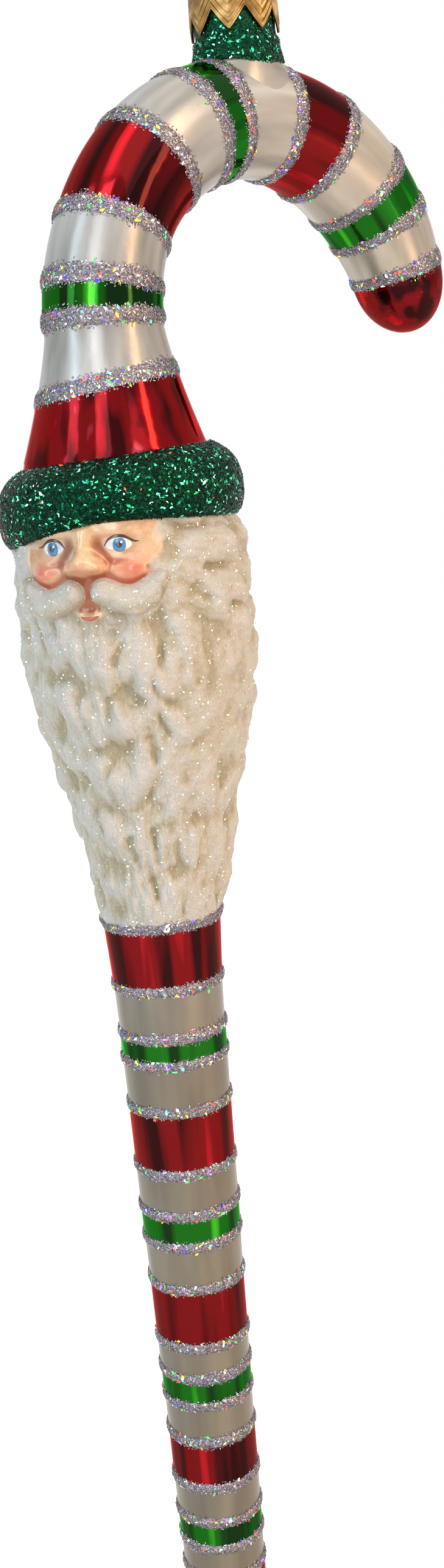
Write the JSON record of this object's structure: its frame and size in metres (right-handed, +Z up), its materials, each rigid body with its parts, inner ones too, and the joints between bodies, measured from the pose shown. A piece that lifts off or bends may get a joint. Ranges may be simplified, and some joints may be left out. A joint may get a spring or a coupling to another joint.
{
  "type": "hanging glass christmas ornament",
  "caption": "Blown glass candy-cane ornament with a bearded Santa head below the hook, lacquer bands, glitter lines, a crown cap and a wire hanging loop",
  "frame": {"origin": "inside of the wire loop at its top, where a tree hook holds the ornament", "axes": "+Z up along the shaft; the shaft and hook lie in the XZ plane and the hook turns over towards +X; the face looks 33 degrees from -X towards -Y"},
  "size_m": [0.0802, 0.0336, 0.2563],
  "materials": {
    "satin_white": "blown glass, silvered inside, under satin ivory-white lacquer; the face is flesh enamel and the hair and beard are frosted with fine mica",
    "lacquer_red": "clear red gloss lacquer over silvered glass",
    "lacquer_green": "clear green gloss lacquer over silvered glass",
    "glitter_silver": "raised line of fine silver glitter with coloured sparkles",
    "glitter_green": "thick coat of dark green glitter with mint sparkles",
    "cap_gold": "pressed sheet, gold lacquered, embossed lines on the petals",
    "wire_gold": "bright drawn spring wire"
  },
  "bodies": {
    "hanger": {"hanger_wire": "wire_gold"},
    "cap": {"crown_cap": "cap_gold"},
    "glass": {"glass_body": "satin_white", "red_band_1": "lacquer_red", "red_band_2": "lacquer_red", "red_band_3": "lacquer_red", "red_band_4": "lacquer_red", "red_band_5": "lacquer_red", "red_band_6": "lacquer_red", "red_band_7": "lacquer_red", "red_band_8": "lacquer_red", "red_band_9": "lacquer_red", "green_band_1": "lacquer_green", "green_band_2": "lacquer_green", "green_band_3": "lacquer_green", "green_band_4": "lacquer_green", "green_band_5": "lacquer_green", "green_band_6": "lacquer_green", "green_band_7": "lacquer_green", "glitter_ring_1": "glitter_silver", "glitter_ring_2": "glitter_silver", "glitter_ring_3": "glitter_silver", "glitter_ring_4": "glitter_silver", "glitter_ring_5": "glitter_silver", "glitter_ring_6": "glitter_silver", "glitter_ring_7": "glitter_silver", "glitter_ring_8": "glitter_silver", "glitter_ring_9": "glitter_silver", "glitter_ring_10": "glitter_silver", "glitter_ring_11": "glitter_silver", "glitter_ring_12": "glitter_silver", "glitter_ring_13": "glitter_silver", "glitter_ring_14": "glitter_silver", "glitter_ring_15": "glitter_silver", "glitter_ring_16": "glitter_silver", "glitter_ring_17": "glitter_silver", "glitter_ring_18": "glitter_silver", "glitter_ring_19": "glitter_silver", "glitter_ring_20": "glitter_silver", "glitter_ring_21": "glitter_silver", "glitter_ring_22": "glitter_silver", "glitter_ring_23": "glitter_silver", "glitter_ring_24": "glitter_silver", "glitter_ring_25": "glitter_silver", "glitter_ring_26": "glitter_silver", "glitter_ring_27": "glitter_silver", "glitter_ring_28": "glitter_silver", "glitter_ring_29": "glitter_silver", "neck_glitter": "glitter_green", "brim_glitter": "glitter_green"}
  },
  "joints": [
    {"name": "hanger_slide", "type": "slide", "parent": "hanger", "child": "cap", "axis": [0, 0, 1], "range_m": [0, 0.002]},
    {"name": "neck_pull", "type": "slide", "parent": "cap", "child": "glass", "axis": [0, 0, -1], "range_m": [0, 0.03]}
  ]
}
